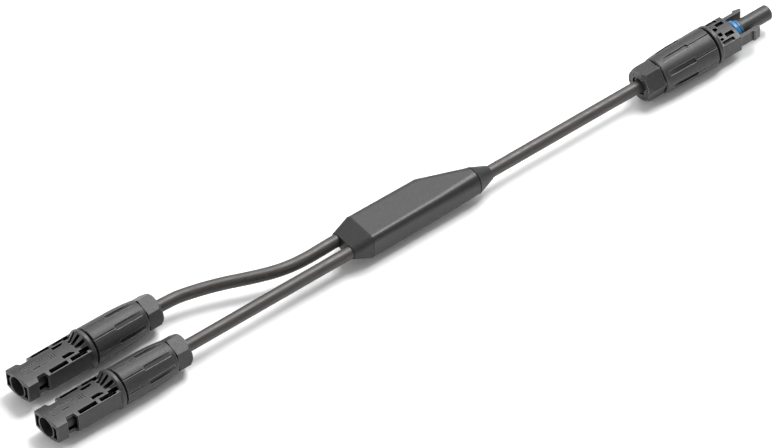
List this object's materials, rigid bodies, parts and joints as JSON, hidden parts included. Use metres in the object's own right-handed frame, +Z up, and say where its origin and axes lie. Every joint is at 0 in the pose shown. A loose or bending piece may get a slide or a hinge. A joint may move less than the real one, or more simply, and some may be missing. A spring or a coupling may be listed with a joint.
{
  "type": "photovoltaic y-branch cable connector",
  "caption": "Y-branch lead for solar panels: pin connectors with latch slots join through a potted splitter into one socket connector with latch fingers and a blue seal.",
  "frame": {"origin": "bottom centre of the whole lead's box, on the surface that the rings of the pin connectors and the nut of the socket connector lie on", "axes": "+X along the lead from the pin connectors to the socket connector, +Y from the trunk line towards the second pin connector, +Z up through the splitter's thickness"},
  "size_m": [0.4058, 0.046, 0.019],
  "materials": {
    "housing_plastic": "satin moulded",
    "nut_plastic": "fine grained",
    "cage_plastic": "satin",
    "seal_rubber": "matt",
    "blue_rubber": "silky",
    "tinned_contact": "tinned",
    "spring_steel": "plain",
    "cable_jacket": "matt extruded",
    "cable_insulation": "smooth",
    "copper": "bright",
    "splitter_plastic": "satin moulded",
    "splitter_cap": "matt moulded",
    "potting_resin": "cast"
  },
  "bodies": {
    "lead": {"male_1_housing": "housing_plastic", "male_1_cable_seal": "seal_rubber", "male_1_pin_contact": "tinned_contact", "male_2_housing": "housing_plastic", "male_2_cable_seal": "seal_rubber", "male_2_pin_contact": "tinned_contact", "female_housing": "housing_plastic", "female_cable_seal": "seal_rubber", "female_face_seal": "blue_rubber", "female_socket_contact": "tinned_contact", "female_contact_spring": "spring_steel", "branch_cable_1_jacket": "cable_jacket", "branch_cable_1_insulation": "cable_insulation", "branch_cable_1_conductor": "copper", "branch_cable_2_jacket": "cable_jacket", "branch_cable_2_insulation": "cable_insulation", "branch_cable_2_conductor": "copper", "trunk_cable_jacket": "cable_jacket", "trunk_cable_insulation": "cable_insulation", "trunk_cable_conductor": "copper", "splitter_sleeve": "splitter_plastic", "splitter_branch_cap": "splitter_cap", "splitter_trunk_cap": "splitter_cap", "splitter_potting": "potting_resin", "splice_ferrule": "tinned_contact"},
    "male_1_cage": {"male_1_clamp_cage": "cage_plastic"},
    "male_1_nut": {"male_1_nut": "nut_plastic"},
    "male_2_cage": {"male_2_clamp_cage": "cage_plastic"},
    "male_2_nut": {"male_2_nut": "nut_plastic"},
    "female_cage": {"female_clamp_cage": "cage_plastic"},
    "female_nut": {"female_nut": "nut_plastic"},
    "latch_left": {"female_latch_left": "housing_plastic"},
    "latch_right": {"female_latch_right": "housing_plastic"}
  },
  "joints": [
    {"name": "male_1_gland_travel", "type": "slide", "parent": "lead", "child": "male_1_cage", "axis": [1, 0, 0], "range_m": [0, 0.0045]},
    {"name": "male_1_nut_turn", "type": "hinge", "parent": "male_1_cage", "child": "male_1_nut", "pos_m": [-0.1529, -0.0135, 0.0095], "axis": [1, 0, 0], "range_deg": [0, 1080]},
    {"name": "male_2_gland_travel", "type": "slide", "parent": "lead", "child": "male_2_cage", "axis": [1, 0, 0], "range_m": [0, 0.0045]},
    {"name": "male_2_nut_turn", "type": "hinge", "parent": "male_2_cage", "child": "male_2_nut", "pos_m": [-0.1479, 0.0135, 0.0095], "axis": [1, 0, 0], "range_deg": [0, 1080]},
    {"name": "female_gland_travel", "type": "slide", "parent": "lead", "child": "female_cage", "axis": [-1, 0, 0], "range_m": [0, 0.0045]},
    {"name": "female_nut_turn", "type": "hinge", "parent": "female_cage", "child": "female_nut", "pos_m": [0.1529, -0.0135, 0.0095], "axis": [-1, 0, 0], "range_deg": [0, 1080]},
    {"name": "latch_left_flex", "type": "hinge", "parent": "lead", "child": "latch_left", "pos_m": [0.1783, -0.00705, 0.0095], "axis": [0, 0, -1], "range_deg": [0, 3.2], "stiffness_Nm_per_rad": 1.2},
    {"name": "latch_right_flex", "type": "hinge", "parent": "lead", "child": "latch_right", "pos_m": [0.1783, -0.01995, 0.0095], "axis": [0, 0, 1], "range_deg": [0, 3.2], "stiffness_Nm_per_rad": 1.2}
  ],
  "couplings": [
    {"joint": "male_1_nut_turn", "follows": "male_1_gland_travel", "rad_per_m": 4188.7},
    {"joint": "male_2_nut_turn", "follows": "male_2_gland_travel", "rad_per_m": 4188.7},
    {"joint": "female_nut_turn", "follows": "female_gland_travel", "rad_per_m": 4188.7}
  ]
}
